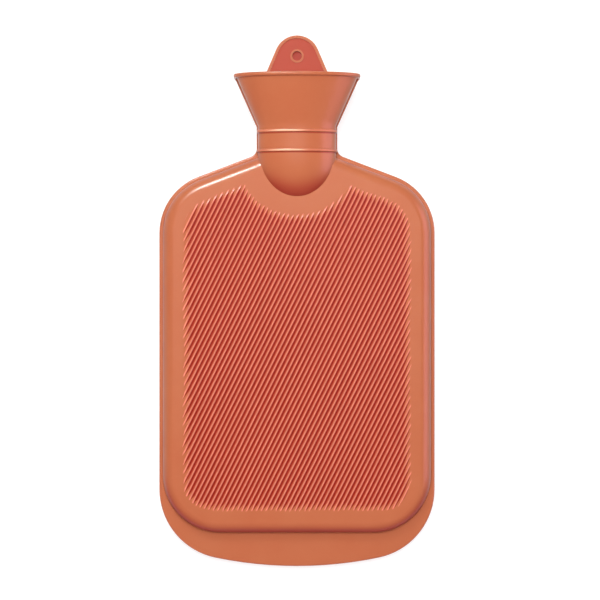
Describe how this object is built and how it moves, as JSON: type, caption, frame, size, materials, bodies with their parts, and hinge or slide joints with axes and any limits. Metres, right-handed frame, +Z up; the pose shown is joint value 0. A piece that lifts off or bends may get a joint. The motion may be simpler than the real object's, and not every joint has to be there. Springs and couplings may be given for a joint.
{
  "type": "hot water bottle",
  "caption": "Flat rubber hot water bottle with a ribbed front, flared filling funnel, hanging tab and a screw stopper inside the neck.",
  "frame": {"origin": "centre of the bottle's bounding box, on the table that it lies on", "axes": "+X across the bottle, +Y from the bottom edge to the hanging tab, +Z up, out of the ribbed front"},
  "size_m": [0.1926, 0.375, 0.0544],
  "materials": {
    "bottle_rubber": "satin",
    "socket_brass": "machined",
    "washer_rubber": "matte",
    "stopper_plastic": "satin"
  },
  "bodies": {
    "bottle": {"rubber_bottle": "bottle_rubber", "threaded_socket": "socket_brass"},
    "washer": {"sealing_washer": "washer_rubber"},
    "stopper": {"stopper": "stopper_plastic"}
  },
  "joints": [
    {"name": "stopper_rise", "type": "slide", "parent": "bottle", "child": "washer", "axis": [0, 0.9991, 0.0426], "range_m": [0, 0.012]},
    {"name": "stopper_turn", "type": "hinge", "parent": "washer", "child": "stopper", "pos_m": [0, 0.12097, 0.02377], "axis": [0, 0.9991, 0.0426], "range_deg": [0, 1440]}
  ],
  "couplings": [
    {"joint": "stopper_turn", "follows": "stopper_rise", "rad_per_m": 2094.4}
  ]
}
